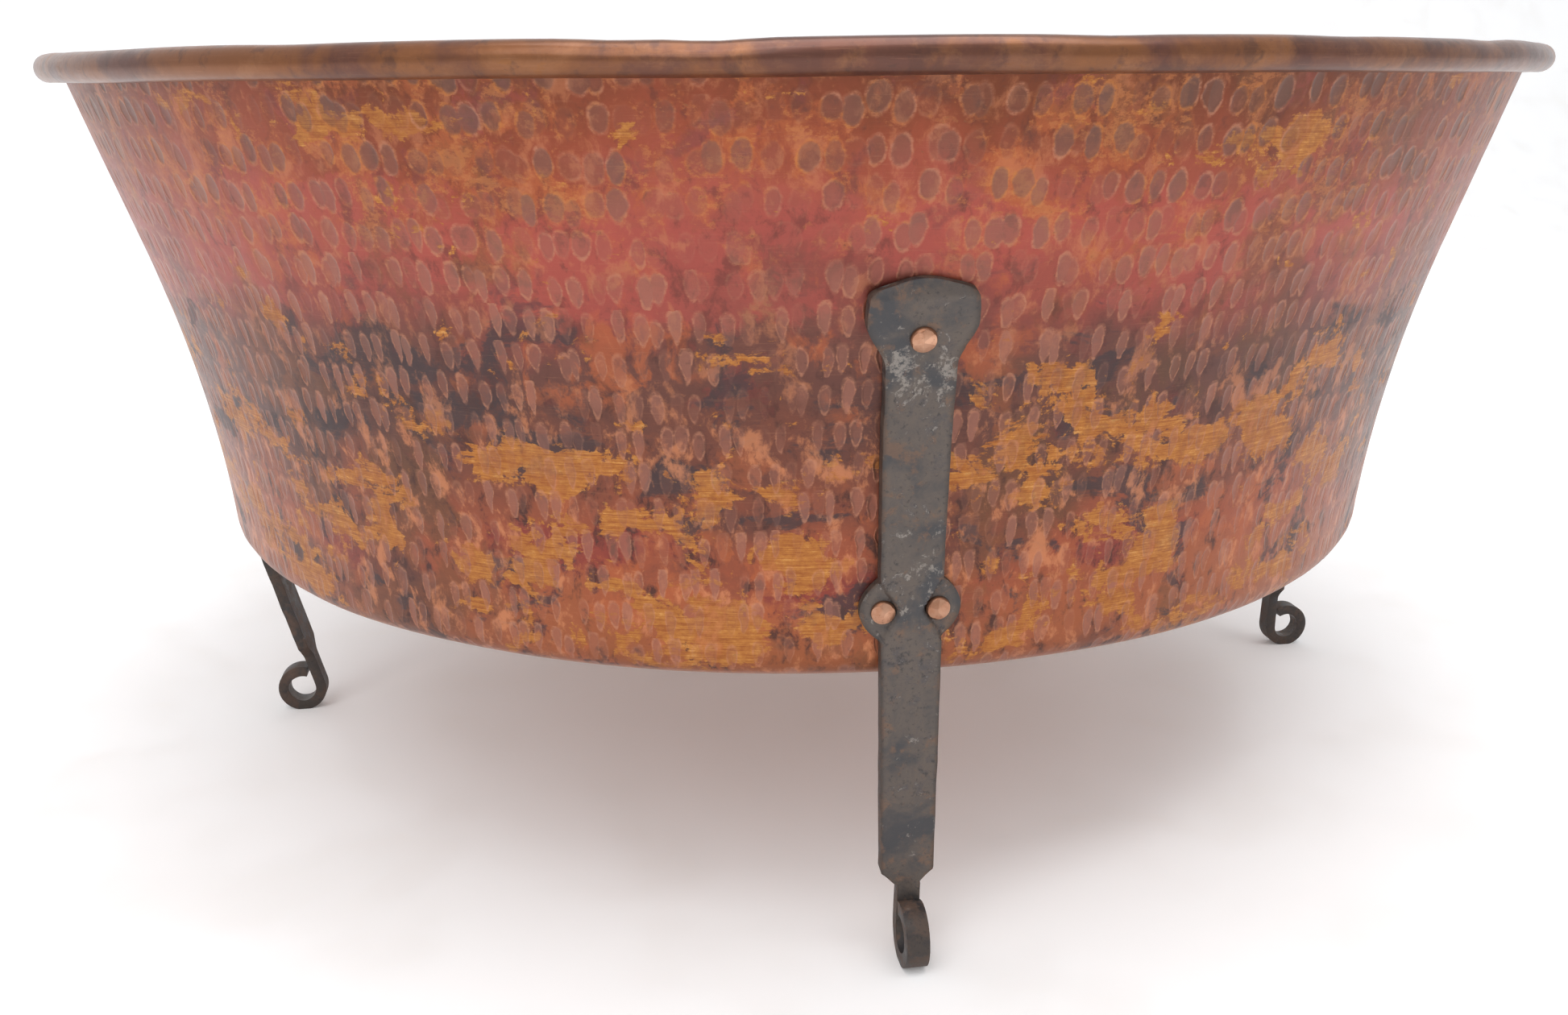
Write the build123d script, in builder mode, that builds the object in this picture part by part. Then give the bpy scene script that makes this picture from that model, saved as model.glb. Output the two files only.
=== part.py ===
"""A raised copper tub on four forged iron legs.

Millimetres, +Z up, the origin on the ground under the tub's centre, the front leg towards -Y.
The tub is one sheet: flat floor, rounded corner, wall that bends outwards into a straight cone,
and a rim rolled outwards over an iron rod. Each leg is one flat bar with a spread ear, a pair of
thinned lobes and a foot rolled outwards into a ring, and three rivets hold it to the wall.
"""
import os
from math import acos, asin, cos, degrees, radians, sin, sqrt

from build123d import *

# Tub
rim_diameter = 1000.0
overall_height = 490.0
floor_height = 170.0  # ground to the underside of the floor
sheet = 2.0
corner_radius = 18.0  # outside, between floor and wall
base_lean = 4.5  # degrees from upright, where the wall leaves the corner
flare_lean = 17.5  # degrees from upright, in the straight cone under the rim
cone_height = 107.0  # of the straight cone, down from the rod's centre
rod_diameter = 12.0
rod_clearance = 0.1
seam_gap = 0.3  # between the rolled edge and the wall

# Legs
leg_thickness = 8.0
leg_gap = 0.1  # between the bar's flat back and the wall, at the bar's middle
foot_width = 13.0
shoulder_width = 29.5
neck_width = 34.5  # of the bar under the ear
shoulder_slope = 9.0  # height of each shoulder's slope
shoulder_clearance = 9.0  # between the foot ring and the shoulders
ear_width = 53.0
ear_height = 33.0
ear_corner = 10.0
ear_drop = 104.0  # from the top of the rim to the top of the ear
ring_diameter = 36.0
ring_flat = 0.5  # worn off under the ring
tip_angle = 115.0  # where the ring's curve ends and its straight tip starts
tip_gap = 0.3  # between the tip and the bar
set_radius = 60.0  # of the bend under the tub

# Azimuth from the front, the bar's lean from upright below the tub, and its tilt to the left as
# seen from outside, in degrees. The legs were set by hand, so that the left one is drawn in, the
# right one is upright, and the front one is tilted about its foot.
legs = {
    "front": (0, 6.6, 1.6),
    "right": (90, 1.7, 0),
    "back": (180, 6.6, 0),
    "left": (270, 14.4, 0),
}

# Lobes, one on each edge of the bar
lobe_rise = 43.0  # floor to the lower rivets
lobe_width = 53.0  # over both lobes
lobe_height = 34.0
waist_width = 12.4  # of full thickness left between the lobes
lobe_thickness = 4.5

# Rivets
shank_diameter = 6.5
hole_clearance = 0.1
head_clearance = 0.05
head_diameter = 13.0
head_height = 4.5
inner_head_diameter = 12.0
inner_head_height = 3.5
lower_spacing = 28.6
upper_drop = 26.0  # from the top of the ear to its rivet

# Worked out from the sizes above
rod_radius = rod_diameter / 2
bead_radius = rod_radius + sheet
rod_centre = (rim_diameter / 2 - bead_radius, overall_height - bead_radius)
ring_radius = ring_diameter / 2
strap_centre = leg_gap + leg_thickness / 2  # from the wall to the bar's middle


def across(lean, distance):
    """The step from a wall of this lean, square to it and outwards, as (radius, height)."""
    return distance * cos(radians(lean)), -distance * sin(radians(lean))


def plus(point, *steps):
    """A point moved by some steps."""
    return tuple(sum(values) for values in zip(point, *steps))


# The wall's outer face: a cone that touches the rod, then an arc down to the corner.
rod_touch = plus(rod_centre, across(flare_lean, -rod_radius))
bend_top_height = rod_centre[1] - cone_height
cone_drop = rod_touch[1] - bend_top_height
bend_top = (rod_touch[0] - cone_drop * sin(radians(flare_lean)) / cos(radians(flare_lean)), bend_top_height)
corner_height = floor_height + corner_radius
arc_rise = sin(radians(flare_lean)) - sin(radians(base_lean))
corner_drop = corner_radius * sin(radians(base_lean))
bend_radius = (bend_top_height - corner_height + corner_drop) / arc_rise
bend_centre = plus(bend_top, across(flare_lean, bend_radius))
bend_foot = plus(bend_centre, across(base_lean, -bend_radius))
corner_centre = plus(bend_foot, across(base_lean, -corner_radius))

# The rolled edge stops where its outer corner is the seam gap away from the wall.
wrap_sweep = 360 - degrees(acos((rod_radius - seam_gap) / bead_radius))


def wall_at(height):
    """The radius and the lean of the wall's outer face at a height above its corner."""
    if height > bend_top_height:
        rise = height - bend_top_height
        return bend_top[0] + rise * sin(radians(flare_lean)) / cos(radians(flare_lean)), flare_lean
    lean = degrees(asin((height - bend_centre[1]) / bend_radius))
    return bend_centre[0] - bend_radius * cos(radians(lean)), lean


def facing(azimuth):
    """An upright plane through the axis, seen from outside: x across, y up, z outwards."""
    turn = radians(azimuth)
    return Plane((0, 0, 0), x_dir=(cos(turn), sin(turn), 0), z_dir=(sin(turn), -cos(turn), 0))


def radial(azimuth):
    """An upright plane through the axis, seen from the side: x outwards, y up."""
    turn = radians(azimuth)
    return Plane((0, 0, 0), x_dir=(sin(turn), -cos(turn), 0), z_dir=(-cos(turn), -sin(turn), 0))


def on_wall(azimuth, height, aside=0.0, out=0.0):
    """A plane flat against the wall: x across, z outwards."""
    radius, lean = wall_at(height)
    front = facing(azimuth)
    step, drop = across(lean, out)
    origin = front.from_local_coords(Vector(aside, height + drop, radius + step))
    normal = front.z_dir * cos(radians(lean)) - Vector(0, 0, sin(radians(lean)))
    return Plane(origin, x_dir=front.x_dir, z_dir=normal)


def tilted(height, aside, tilt):
    """Where a place on an upright bar comes, as (height, aside), once the bar is tilted about its foot."""
    turn = radians(tilt)
    return height * cos(turn) + aside * sin(turn), aside * cos(turn) - height * sin(turn)


ear_top = overall_height - ear_drop
lobe_middle = floor_height + lobe_rise
foot_top = ring_diameter - ring_flat + shoulder_clearance
rivet_places = {
    "top": (ear_top - upper_drop, 0.0, leg_thickness),
    "low_left": (lobe_middle, -lower_spacing / 2, lobe_thickness),
    "low_right": (lobe_middle, lower_spacing / 2, lobe_thickness),
}

os.makedirs("parts", exist_ok=True)


def save(builder, name):
    """Labels a finished piece and writes it."""
    builder.part.label = name
    export_step(builder.part, f"parts/{name}.step")


with BuildPart() as tub:
    with BuildSketch(Plane.XZ):
        with BuildLine():
            axis_ends, rim_ends = [], []
            for depth in (0, sheet):
                corner = CenterArc(corner_centre, corner_radius - depth, -90, 90 - base_lean)
                bend = CenterArc(bend_centre, bend_radius + depth, 180 - base_lean, base_lean - flare_lean)
                wrap = CenterArc(rod_centre, rod_radius + depth, 180 - flare_lean, -wrap_sweep)
                floor = Line((0, floor_height + depth), corner @ 0)
                Line(bend @ 1, wrap @ 0)
                axis_ends.append(floor @ 0)
                rim_ends.append(wrap @ 1)
            Line(*axis_ends)
            Line(*rim_ends)
        make_face()
    revolve(axis=Axis.Z)
    for azimuth, _, tilt in legs.values():
        for height, aside, _ in rivet_places.values():
            with Locations(on_wall(azimuth, *tilted(height, aside, tilt))):
                Cylinder(shank_diameter / 2 + hole_clearance, 4 * sheet, mode=Mode.SUBTRACT)
save(tub, "tub")

with BuildPart(Plane.XY.offset(rod_centre[1])) as rim_rod:
    Torus(rod_centre[0], rod_radius - rod_clearance)
save(rim_rod, "rim_rod")


# Two lenses on the bar's edges. Outwards each one is a lobe, and inwards the waist beside it.
with BuildSketch() as lobes:
    edge = (neck_width + shoulder_width) / 4
    for side in (-1, 1):
        low, high = (side * edge, -lobe_height / 2), (side * edge, lobe_height / 2)
        with BuildLine():
            ThreePointArc(low, (side * lobe_width / 2, 0), high)
            ThreePointArc(high, (side * waist_width / 2, 0), low)
        make_face()

# The bar from the front, above its foot: shoulders, strap, lobes and ear.
with BuildSketch() as bar:
    neck_height = ear_top - ear_height
    right_edge = [
        (foot_width / 2, foot_top),
        (shoulder_width / 2, foot_top + shoulder_slope),
        (neck_width / 2, neck_height),
        (neck_width / 2, neck_height + ear_height / 2),
    ]
    with BuildLine():
        Polyline(*right_edge, *[(-x, y) for x, y in reversed(right_edge)], close=True)
    make_face()
    with Locations((0, foot_top)):
        Rectangle(foot_width, shoulder_slope)
    with Locations((0, ear_top - ear_height / 2)):
        RectangleRounded(ear_width, ear_height, ear_corner)
    with Locations((0, lobe_middle)):
        add(lobes.sketch)


def build_leg(azimuth, lean, tilt):
    """One leg: the bar's side view cut to its front view, thinned at the lobes and drilled."""
    slope = sin(radians(flare_lean)) / cos(radians(flare_lean))
    cone_foot = plus(bend_top, across(flare_lean, strap_centre))
    ear_rise = ear_top - cone_foot[1]
    ring_middle = ring_radius - leg_thickness / 2
    ring_start = ring_radius - ring_flat + ring_middle * sin(radians(lean))
    tip = radians(tip_angle)
    tip_length = (ring_radius * cos(tip) + ring_radius - leg_thickness - tip_gap) / sin(tip)
    with BuildPart() as leg:
        # From the side: from the ear down the wall and the leg, round the ring to its tip.
        with BuildSketch(radial(azimuth)):
            with BuildLine():
                bend = CenterArc(
                    bend_centre, bend_radius - strap_centre, 180 - flare_lean, flare_lean - base_lean
                )
                Line(plus(cone_foot, (ear_rise * slope, ear_rise)), bend @ 0)
                under = JernArc(bend @ 1, bend % 1, set_radius, base_lean - lean)
                length = ((under @ 1).Y - ring_start) / cos(radians(lean))
                shin = Line(under @ 1, (under @ 1) + (under % 1) * length)
                ring = JernArc(shin @ 1, shin % 1, ring_middle, 180 + tip_angle)
                Line(ring @ 1, (ring @ 1) + (ring % 1) * tip_length)
            trace(line_width=leg_thickness)
        extrude(amount=max(ear_width, lobe_width), both=True)
        # From the front: an upright foot and the tilted bar above it.
        with BuildSketch(facing(azimuth)):
            with Locations((0, foot_top / 2)):
                Rectangle(foot_width, foot_top)
            add(bar.sketch, rotation=tilt)
        extrude(amount=rim_diameter, mode=Mode.INTERSECT)
        lobe_place = tilted(lobe_middle, 0, tilt)
        with BuildSketch(on_wall(azimuth, *lobe_place, out=leg_gap + lobe_thickness)):
            add(lobes.sketch, rotation=tilt)
        extrude(amount=2 * leg_thickness, mode=Mode.SUBTRACT)
        for height, aside, _ in rivet_places.values():
            with Locations(on_wall(azimuth, *tilted(height, aside, tilt))):
                Cylinder(shank_diameter / 2 + hole_clearance, 4 * leg_thickness, mode=Mode.SUBTRACT)
    return leg


def build_rivet(azimuth, height, aside, grip):
    """A rivet set in the wall: a round head outside, its shank and a round head inside.

    The inner head seats where the round wall is furthest behind the bar's flat back.
    """
    seat = on_wall(azimuth, height, aside)
    inner_radius = wall_at(height)[0] - sheet
    reach = abs(aside) + inner_head_diameter / 2
    wall_fall = inner_radius - sqrt(inner_radius**2 - reach**2)
    top = leg_gap + grip + head_clearance
    bottom = -sheet - wall_fall - head_clearance
    shank = shank_diameter / 2
    with BuildPart() as rivet:
        with BuildSketch(Plane(seat.origin, x_dir=seat.x_dir, z_dir=-seat.y_dir)):
            with BuildLine():
                Polyline(
                    (inner_head_diameter / 2, bottom),
                    (shank, bottom),
                    (shank, top),
                    (head_diameter / 2, top),
                )
                outer = TangentArc((0, top + head_height), (head_diameter / 2, top), tangent=(1, 0))
                inner = TangentArc(
                    (0, bottom - inner_head_height), (inner_head_diameter / 2, bottom), tangent=(1, 0)
                )
                Line(outer @ 0, inner @ 0)
            make_face()
        revolve(axis=Axis(seat.origin, seat.z_dir))
    return rivet


for name, (azimuth, lean, tilt) in legs.items():
    save(build_leg(azimuth, lean, tilt), f"leg_{name}")
    for place, (height, aside, grip) in rivet_places.items():
        save(build_rivet(azimuth, *tilted(height, aside, tilt), grip), f"rivet_{name}_{place}")
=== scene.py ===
"""Dresses a raised copper tub on four forged legs for a studio picture. Units are metres.

The tub is its sheet's section, spun round and hammered. The legs are flat bars drawn along their
side view, and the rivets are domes with hammered facets. The rod inside the rim stays as it comes.
"""
import random
from math import asin, cos, exp, pi, radians, sin, sqrt, tan
from types import SimpleNamespace

import bmesh
import bpy
import numpy as np
from mathutils import Matrix, Vector, noise


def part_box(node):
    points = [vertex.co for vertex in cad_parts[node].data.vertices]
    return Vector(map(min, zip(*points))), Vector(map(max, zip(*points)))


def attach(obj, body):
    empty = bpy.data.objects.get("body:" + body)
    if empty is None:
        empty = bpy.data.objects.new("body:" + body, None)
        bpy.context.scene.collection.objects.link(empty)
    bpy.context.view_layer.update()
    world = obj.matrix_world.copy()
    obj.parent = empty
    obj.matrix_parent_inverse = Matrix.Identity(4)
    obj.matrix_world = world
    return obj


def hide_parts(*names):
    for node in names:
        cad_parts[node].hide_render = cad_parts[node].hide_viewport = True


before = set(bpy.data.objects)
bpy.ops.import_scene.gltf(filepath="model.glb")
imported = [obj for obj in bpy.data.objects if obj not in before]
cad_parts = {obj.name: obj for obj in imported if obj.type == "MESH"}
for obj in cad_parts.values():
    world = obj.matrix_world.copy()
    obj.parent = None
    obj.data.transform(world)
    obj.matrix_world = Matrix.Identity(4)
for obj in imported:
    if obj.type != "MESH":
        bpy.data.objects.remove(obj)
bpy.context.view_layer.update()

MM = 0.001
tiny = 0.001 * MM
merge_distance = 0.01 * MM

# Tub
tub_low, tub_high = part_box("tub")
rim_radius = tub_high.x
rim_top = tub_high.z
floor_height = tub_low.z
sheet = 2 * MM
corner_radius = 18 * MM
base_lean = radians(4.5)  # from upright, where the wall leaves the corner
flare_lean = radians(17.5)  # from upright, in the cone under the rim
cone_height = 107 * MM
rod_radius = 6 * MM
bead_radius = rod_radius + sheet
seam_gap = 0.3 * MM
rod_centre = (rim_radius - bead_radius, rim_top - bead_radius)
floor_steps, corner_steps = 7, 5
bend_share = 0.63  # of the wall's rows
outer_roll_steps, inner_roll_steps, inner_wall_rows = 14, 20, 22
wave_height = 0.7 * MM
rim_waver = 0.6 * MM
dent_count = 46
dent_depth = 0.9 * MM

# Hammer marks: upright ovals in rows round the wall, which get slimmer between two drops
row_pitch = 20 * MM
marks_per_row = 264
mark_depth = 0.34 * MM
broad_above = 60 * MM
slim_below = 160 * MM
cuts_per_mark = 3
rows_per_mark = 4
smooth_edge = 12 * MM  # without marks, under the roll and over the corner

# Legs, by name: azimuth from the front, lean below the tub, and tilt to the left from outside
legs = {
    "front": (0, 6.6, 1.6),
    "right": (90, 1.7, 0),
    "back": (180, 6.6, 0),
    "left": (270, 14.4, 0),
}
ear_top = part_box("leg_back")[1].z
leg_thickness = 8 * MM
leg_gap = 0.1 * MM
foot_width = 13 * MM
shoulder_width = 29.5 * MM
neck_width = 34.5 * MM
ear_width = 53 * MM
ear_height = 33 * MM
ear_corner = 8 * MM
ear_top_taper = 1.6 * MM  # off each side, at the top
ear_round = 4 * MM  # from the middle of the top down to its corners
ear_thinning = 4.5 * MM
ear_thin_length = 9 * MM
ear_side_thinning = 0.8 * MM
ear_neck_starts, ear_neck_ends = 0.6 * ear_height, 1.25 * ear_height  # below the top
ring_radius = 18 * MM
ring_flat = 0.5 * MM
tip_angle = radians(115)
tip_gap = 0.3 * MM
set_radius = 60 * MM
shoulder_slope = 9 * MM
foot_top = 2 * ring_radius - ring_flat + 9 * MM
lobe_middle = floor_height + 43 * MM
lobe_width = 53 * MM
lobe_height = 34 * MM
waist_width = 12.4 * MM
lobe_thickness = 4.5 * MM
lobe_edge = 0.7 * MM
bar_columns = 34
ear_step, wall_step, bar_step, ring_step, tip_step = 0.9 * MM, 1.1 * MM, 1.5 * MM, 1.1 * MM, 1.2 * MM
forged_depth = 0.35 * MM
forged_inset = 0.25 * MM  # keeps the unevenness within the bar
arris = 0.9 * MM
sharp_angle = radians(50)

# Rivets
shank_radius = 3.2 * MM
head_radius = 6.5 * MM
head_height = 4.5 * MM
inner_head_radius = 6 * MM
inner_head_height = 3.5 * MM
head_edge = 0.3 * MM
facet_depth = 0.5 * MM
ridge_width = 0.25 * MM
ridge_angle = radians(9)
rivet_steps = 40
rivet_places = {
    "top": (ear_top - 26 * MM, 0.0, leg_thickness),
    "low_left": (lobe_middle, -14.3 * MM, lobe_thickness),
    "low_right": (lobe_middle, 14.3 * MM, lobe_thickness),
}


# ---------------------------------------------------------------- camera, floor and light

def make_camera():
    """A camera a little below the rim's height, in front and to the left of the front leg."""
    data = bpy.data.cameras.new("camera")
    data.sensor_width = 36
    data.lens = 33.3
    data.clip_end = 50
    camera = bpy.data.objects.new("camera", data)
    bpy.context.scene.collection.objects.link(camera)
    round_from_front, distance, height = radians(8.87), 1.1147, 0.4732
    heading, pitch, roll = radians(8.46), radians(16.47), radians(-0.42)
    place = (-distance * sin(round_from_front), -distance * cos(round_from_front), height)
    turn = Matrix.Rotation(-heading, 4, "Z") @ Matrix.Rotation(pi / 2 - pitch, 4, "X")
    camera.matrix_world = Matrix.Translation(place) @ turn @ Matrix.Rotation(roll, 4, "Z")
    bpy.context.scene.camera = camera


def make_light(name, place, size, power):
    """A soft square lamp that looks at the tub."""
    data = bpy.data.lights.new(name, "AREA")
    data.shape = "SQUARE"
    data.size = size
    data.energy = power
    lamp = bpy.data.objects.new(name, data)
    bpy.context.scene.collection.objects.link(lamp)
    aim = Vector((0, 0, 0.25)) - Vector(place)
    lamp.matrix_world = Matrix.Translation(place) @ aim.to_track_quat("-Z", "Y").to_matrix().to_4x4()


def make_surroundings():
    """An even white sky, for the light and for what the copper reflects."""
    world = bpy.data.worlds.new("white_sky")
    bpy.context.scene.world = world
    world.use_nodes = True
    background = world.node_tree.nodes["Background"]
    background.inputs["Color"].default_value = (0.97, 0.98, 1.0, 1)
    background.inputs["Strength"].default_value = 0.73


# ---------------------------------------------------------------- materials

def shade(red, green, blue):
    """A colour from its screen values, 0 to 255, as the linear values that a shader takes."""
    def linear(value):
        value /= 255
        return value / 12.92 if value <= 0.04045 else ((value + 0.055) / 1.055) ** 2.4
    return (linear(red), linear(green), linear(blue), 1)


class Value:
    """A number that changes over a surface. Arithmetic on it adds Math nodes."""

    def __init__(self, finish, socket):
        self.finish, self.socket = finish, socket

    def maths(self, operation, *others):
        return self.finish.node("Math", {"operation": operation}, dict(enumerate((self, *others))))

    def __add__(self, other):
        return self.maths("ADD", other)

    def __sub__(self, other):
        return self.maths("SUBTRACT", other)

    def __mul__(self, other):
        return self.maths("MULTIPLY", other)

    def __truediv__(self, other):
        return self.maths("DIVIDE", other)

    def __rsub__(self, other):
        return self.finish.node("Math", {"operation": "SUBTRACT"}, {0: other, 1: self})

    def __neg__(self):
        return self.maths("MULTIPLY", -1)

    __radd__ = __add__
    __rmul__ = __mul__


class Finish:
    """A material being made: one method adds any node to it."""

    def __init__(self, name):
        self.material = bpy.data.materials.new(name)
        self.material.use_nodes = True
        self.tree = self.material.node_tree
        self.tree.nodes.clear()

    def node(self, kind, settings=None, sockets=None, output=0):
        """Adds a node, sets it up, fills or links its inputs, and gives one of its outputs."""
        made = self.tree.nodes.new("ShaderNode" + kind)
        for name, value in (settings or {}).items():
            if name == "stops":
                for stop, (place, colour) in enumerate(value):
                    while len(made.color_ramp.elements) <= stop:
                        made.color_ramp.elements.new(1)
                    made.color_ramp.elements[stop].position = place
                    made.color_ramp.elements[stop].color = colour
            else:
                setattr(made, name, value)
        for name, value in (sockets or {}).items():
            if isinstance(value, Value):
                self.tree.links.new(value.socket, made.inputs[name])
            else:
                made.inputs[name].default_value = value
        return Value(self, made.outputs[output]) if made.outputs else None

    def place(self, stretch=(1, 1, 1)):
        """Where a point is on the object, in metres, with each axis stretched."""
        return self.stretched(self.node("TexCoord", output="Object"), stretch)

    def split(self, vector):
        return [self.node("SeparateXYZ", None, {0: vector}, axis) for axis in "XYZ"]

    def attribute(self, name):
        return self.node("Attribute", {"attribute_name": name}, output="Fac")

    def noise(self, where, scale, detail=4.0, roughness=0.55, distortion=0.0):
        """Soft noise, mostly between 0.3 and 0.7."""
        return self.node("TexNoise", None, {
            "Vector": where, "Scale": scale, "Detail": detail,
            "Roughness": roughness, "Distortion": distortion,
        })

    def stretched(self, where, stretch):
        return self.node("VectorMath", {"operation": "MULTIPLY"}, {0: where, 1: stretch})

    def warped(self, where, scale, amount):
        """Places pushed about by noise, which gives what is drawn on them ragged edges."""
        push = self.node("TexNoise", None, {"Vector": where, "Scale": scale, "Detail": 4.0}, "Color")
        return self.node("VectorMath", {"operation": "MULTIPLY_ADD"}, {0: push, 1: (amount,) * 3, 2: where})

    def mix(self, below, above, amount):
        """One colour laid over another."""
        return self.node(
            "Mix", {"data_type": "RGBA"}, {"Factor": amount, 6: below, 7: above}, output=2
        )

    def done(self, colour, metallic, roughness, height, rise, strength, **others):
        """Wires the surface up, with bumps that rise so high, and returns the material."""
        bumps = self.node("Bump", None, {"Height": height, "Distance": rise, "Strength": strength})
        surface = self.node("BsdfPrincipled", None, {
            "Base Color": colour, "Metallic": metallic, "Roughness": roughness,
            "Normal": bumps, **others,
        })
        self.node("OutputMaterial", None, {"Surface": surface})
        return self.material


# These work on a Value, for a material, and on numpy arrays, for a mesh.

def floor(value):
    return value.maths("FLOOR") if isinstance(value, Value) else np.floor(value)


def sine(value):
    return value.maths("SINE") if isinstance(value, Value) else np.sin(value)


def root(value):
    return value.maths("SQRT") if isinstance(value, Value) else np.sqrt(value)


def lesser(value, other):
    return value.maths("MINIMUM", other) if isinstance(value, Value) else np.minimum(value, other)


def greater(value, other):
    return value.maths("MAXIMUM", other) if isinstance(value, Value) else np.maximum(value, other)


def ease(value, low, high):
    """0 below low and 1 above high, with a smooth rise between them."""
    share = lesser(greater((value - low) / (high - low), 0), 1)
    return share * share * (3 - 2 * share)


def chance(row, mark, salt):
    """A number from 0 to 1 that each hammer mark draws for itself."""
    mixed = row * 0.5698 + mark * 0.7549 + salt
    mixed = mixed - floor(mixed)
    mixed = mixed * (41.7 * mixed + 23.1)
    return mixed - floor(mixed)


def hammer_marks(turn, drop):
    """The hammer marks at a turn round the wall and a distance down it from the rim.

    Gives how deep they are, where their faces and outlines are, and a tone for each face. Rows
    drift a little up and down. Two layers hold every second mark each, so that marks can overlap.
    """
    drift = 0.2 * sine(2 * turn + 0.5) + 0.12 * sine(5 * turn) + 0.1 * sine(11 * turn + 2)
    rows_down = drop / row_pitch + drift
    row = floor(rows_down)
    below = rows_down - row - 0.5
    narrow = ease(drop, broad_above, slim_below)
    found = None
    for layer in (0, 0.5):
        pairs = turn * (marks_per_row / 4 / pi) + layer + chance(row, 0 * row, 0.37)
        pair = floor(pairs)
        whole = pair - floor(pair / (marks_per_row / 2)) * (marks_per_row / 2)
        draws = [chance(row, whole, 0.17 + layer * 0.61 + salt * 0.23) for salt in range(5)]
        force = 0.3 + 0.7 * ease(draws[4], 0.05, 0.55)
        aside = (pairs - pair - 0.5) * 2 - 0.8 * (draws[0] - 0.5)
        down = below - 0.26 * (draws[1] - 0.5)
        half_height = 0.32 + 0.12 * draws[2] + 0.04 * narrow
        half_width = (0.36 + 0.14 * draws[3]) * (1 - narrow * (0.36 + 0.55 * down))
        across = aside / half_width
        along = down / half_height
        away = root(across * across + along * along)
        hollow = force * ease(1 - away, 0, 0.5)
        face = force * ease(1 - away, 0, 0.16)
        ring = force * ease(away, 0.7, 0.94) * ease(-away, -1.2, -0.98)
        if found is None:
            found = hollow, face, ring, face * draws[2]
        else:
            depth, faces, outline, tone = found
            outline = greater(outline * (1 - face), ring * (1 - faces))
            found = greater(depth, hollow), greater(faces, face), outline, greater(tone, face * draws[2])
    return found


def copper_noises(finish, where):
    """The noises that the copper is coloured with, from broad to fine."""
    ragged = finish.warped(where, 38, 14 * MM)
    return SimpleNamespace(
        broad=finish.noise(where, 5.5, 3, 0.5),
        clouds=finish.noise(where, 13, 8, 0.62, 0.5),
        flakes=finish.noise(finish.stretched(ragged, (1.2, 1.2, 1.6)), 22, 9, 0.68, 0.3),
        stains=finish.noise(finish.stretched(ragged, (0.9, 0.9, 1.3)), 21, 8, 0.66, 0.5),
        veils=finish.noise(finish.stretched(ragged, (1.1, 1.1, 0.8)), 34, 7, 0.64, 0.2),
        spots=finish.noise(finish.stretched(ragged, (1.0, 1.1, 0.6)), 70, 6, 0.66),
        grain=finish.noise(where, 260, 3, 0.6),
        brushed=finish.noise(finish.place((1, 1, 30)), 44, 5, 0.75),
        speckle=finish.noise(finish.place((1, 1, 1.6)), 150, 4, 0.75),
    )


def fire_bands(finish, noises, z):
    """Bands of fire colour round the wall, from the corner up to the rim, and how high they are."""
    rise = (z - floor_height) / (rim_top - floor_height)
    rise = rise + 0.3 * (noises.broad - 0.5) + 0.34 * (noises.clouds - 0.5)
    rise = rise + 0.2 * (noises.veils - 0.5)
    bands = finish.node("ValToRGB", {"stops": [
        (0.00, shade(152, 84, 48)),
        (0.10, shade(162, 88, 54)),
        (0.20, shade(158, 80, 52)),
        (0.32, shade(124, 68, 50)),
        (0.44, shade(102, 62, 52)),
        (0.54, shade(110, 66, 56)),
        (0.63, shade(146, 70, 60)),
        (0.74, shade(168, 80, 64)),
        (0.84, shade(150, 70, 44)),
        (0.96, shade(118, 58, 30)),
    ]}, {"Fac": rise})
    return bands, rise


def fire_colours(finish, noises, z, low, upper):
    """The fire colours, which bleed into their bands, and where they are nearly black."""
    colour, rise = fire_bands(finish, noises, z)
    veils, clouds, spots, broad = noises.veils, noises.clouds, noises.spots, noises.broad
    scorch = finish.attribute("scorch")

    orange = ease(veils, 0.5, 0.57) * ease(clouds, 0.42, 0.56)
    colour = finish.mix(colour, shade(186, 98, 54), 0.6 * orange)
    rose = ease(noises.stains * 0.5 + spots * 0.5 + 0.18 * finish.attribute("rose"), 0.54, 0.61)
    rose_tone = finish.mix(shade(178, 80, 70), shade(134, 50, 48), low)
    colour = finish.mix(colour, rose_tone, (0.5 + 0.2 * low) * rose)
    olive = ease(veils * 0.5 + broad * 0.5, 0.53, 0.61)
    colour = finish.mix(colour, shade(98, 68, 42), 0.5 * olive)
    gloom = ease(broad * 0.4 + clouds * 0.6 + 0.1 * scorch, 0.5, 0.66)
    colour = finish.mix(colour, shade(76, 52, 50), 0.6 * gloom * ease(-rise, -0.66, -0.5))
    dusk = ease(noises.stains + 0.13 * scorch + 0.03 * low, 0.59, 0.65 + 0.05 * upper)
    dusk = dusk * (1 - 0.6 * upper)
    colour = finish.mix(colour, shade(54, 41, 45), 0.78 * dusk)

    # Mottling at the size of a thumb and of a pea
    colour = finish.mix(colour, shade(72, 42, 36), (0.5 + 0.42 * low) * ease(spots, 0.52, 0.66))
    colour = finish.mix(colour, shade(212, 136, 92), (0.34 + 0.36 * low) * ease(-spots, -0.47, -0.34))
    crumbs = ease(veils * 0.5 + noises.speckle * 0.5, 0.53, 0.6) * ease(z, 0.37, 0.42)
    return finish.mix(colour, shade(198, 122, 70), 0.5 * crumbs), dusk


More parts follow.
